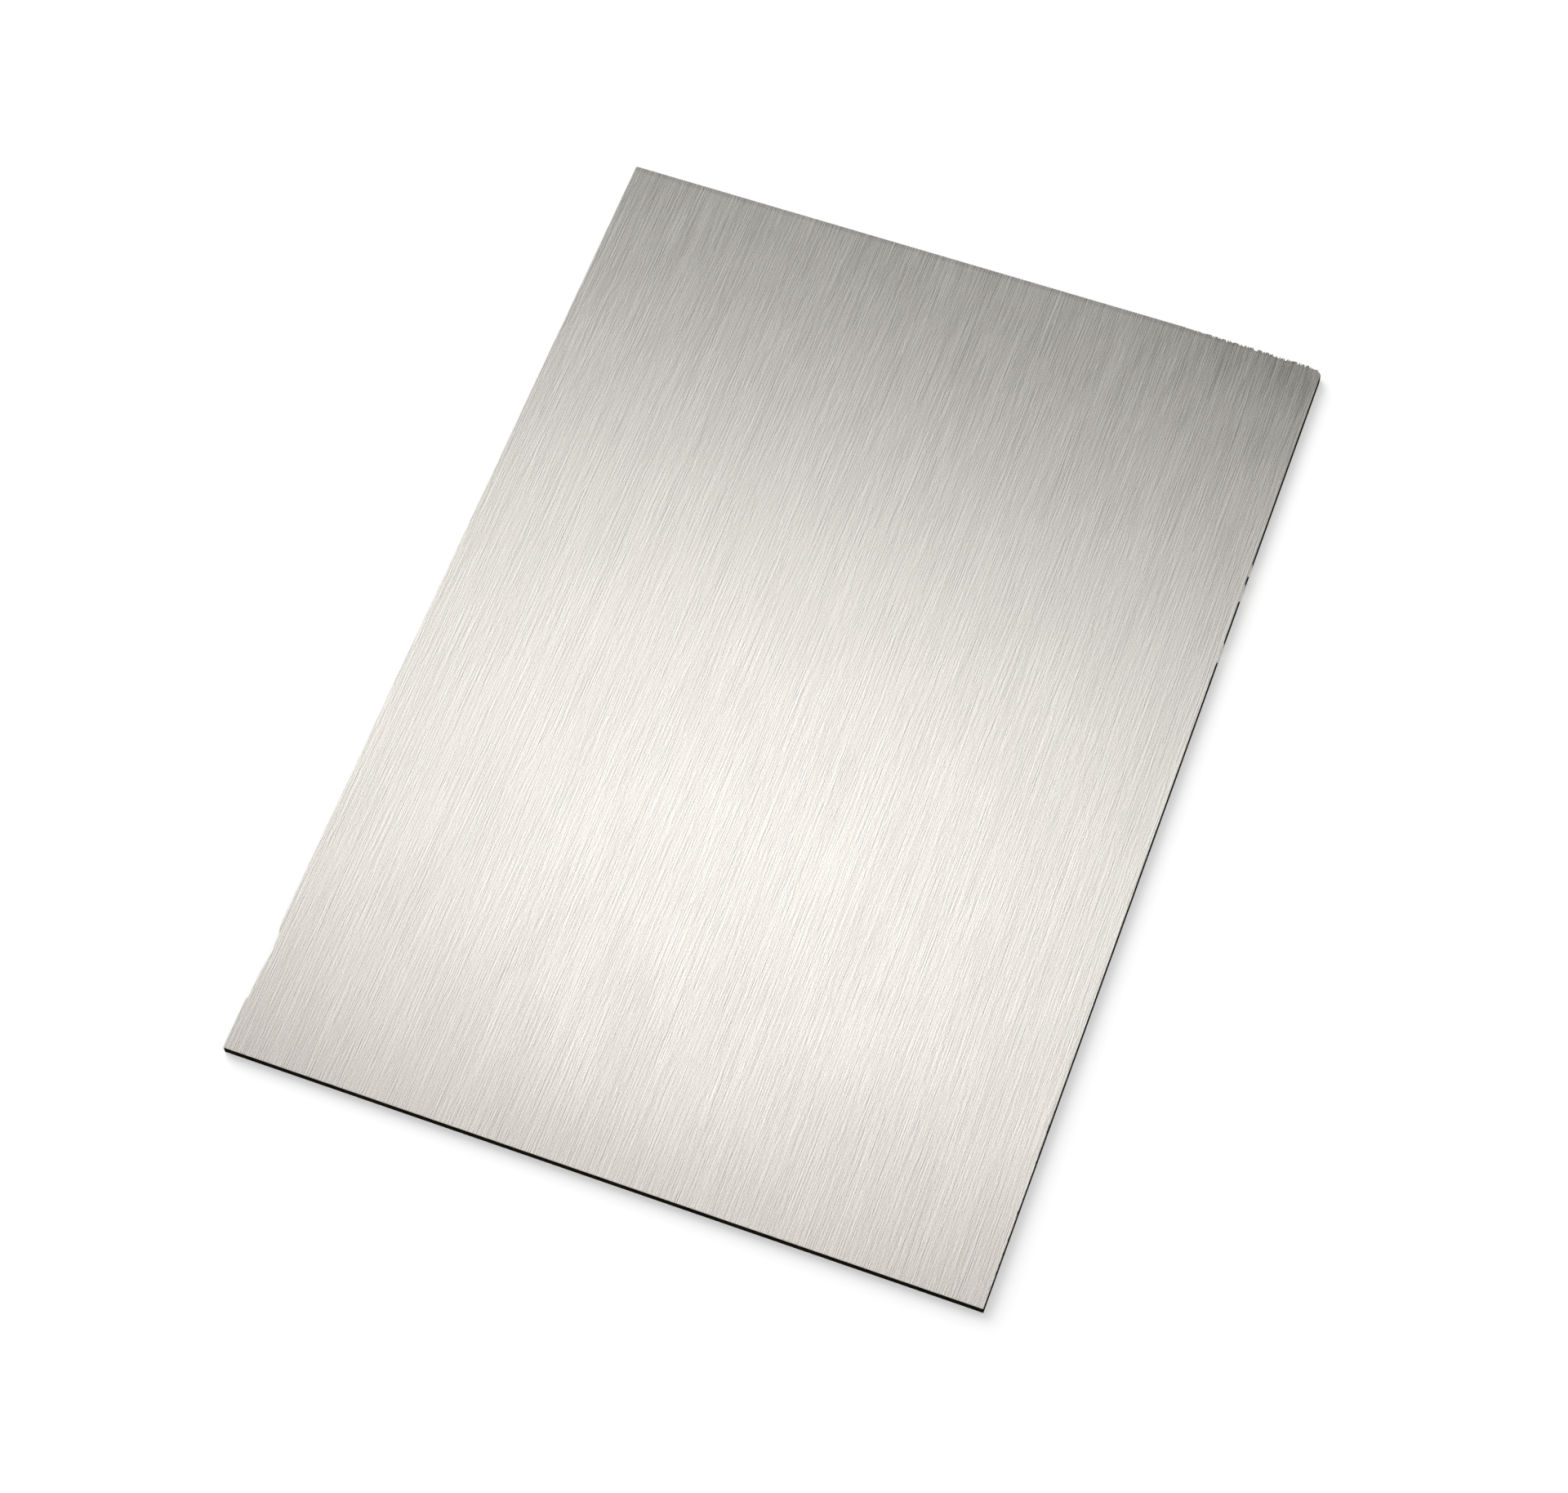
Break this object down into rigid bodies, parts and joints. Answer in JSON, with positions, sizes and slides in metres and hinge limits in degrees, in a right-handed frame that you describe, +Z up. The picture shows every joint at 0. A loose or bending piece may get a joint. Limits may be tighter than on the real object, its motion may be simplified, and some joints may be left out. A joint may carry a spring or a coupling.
{
  "type": "aluminium composite panel",
  "caption": "Flat rectangular sandwich sheet: thin aluminium skins, brushed on the face, bonded to a black polyethylene core.",
  "frame": {"origin": "middle of the back face, on the surface that the panel lies on", "axes": "+X across the panel, +Y along its long side and the brushed grain, +Z up out of the brushed face"},
  "size_m": [0.21, 0.297, 0.003],
  "materials": {
    "face_skin": "brushed in straight lines along the long side, satin",
    "core": "black polyethylene, saw-cut edge",
    "back_skin": "plain mill finish"
  },
  "bodies": {
    "root": {"face_skin": "face_skin", "core": "core", "back_skin": "back_skin"}
  },
  "joints": []
}
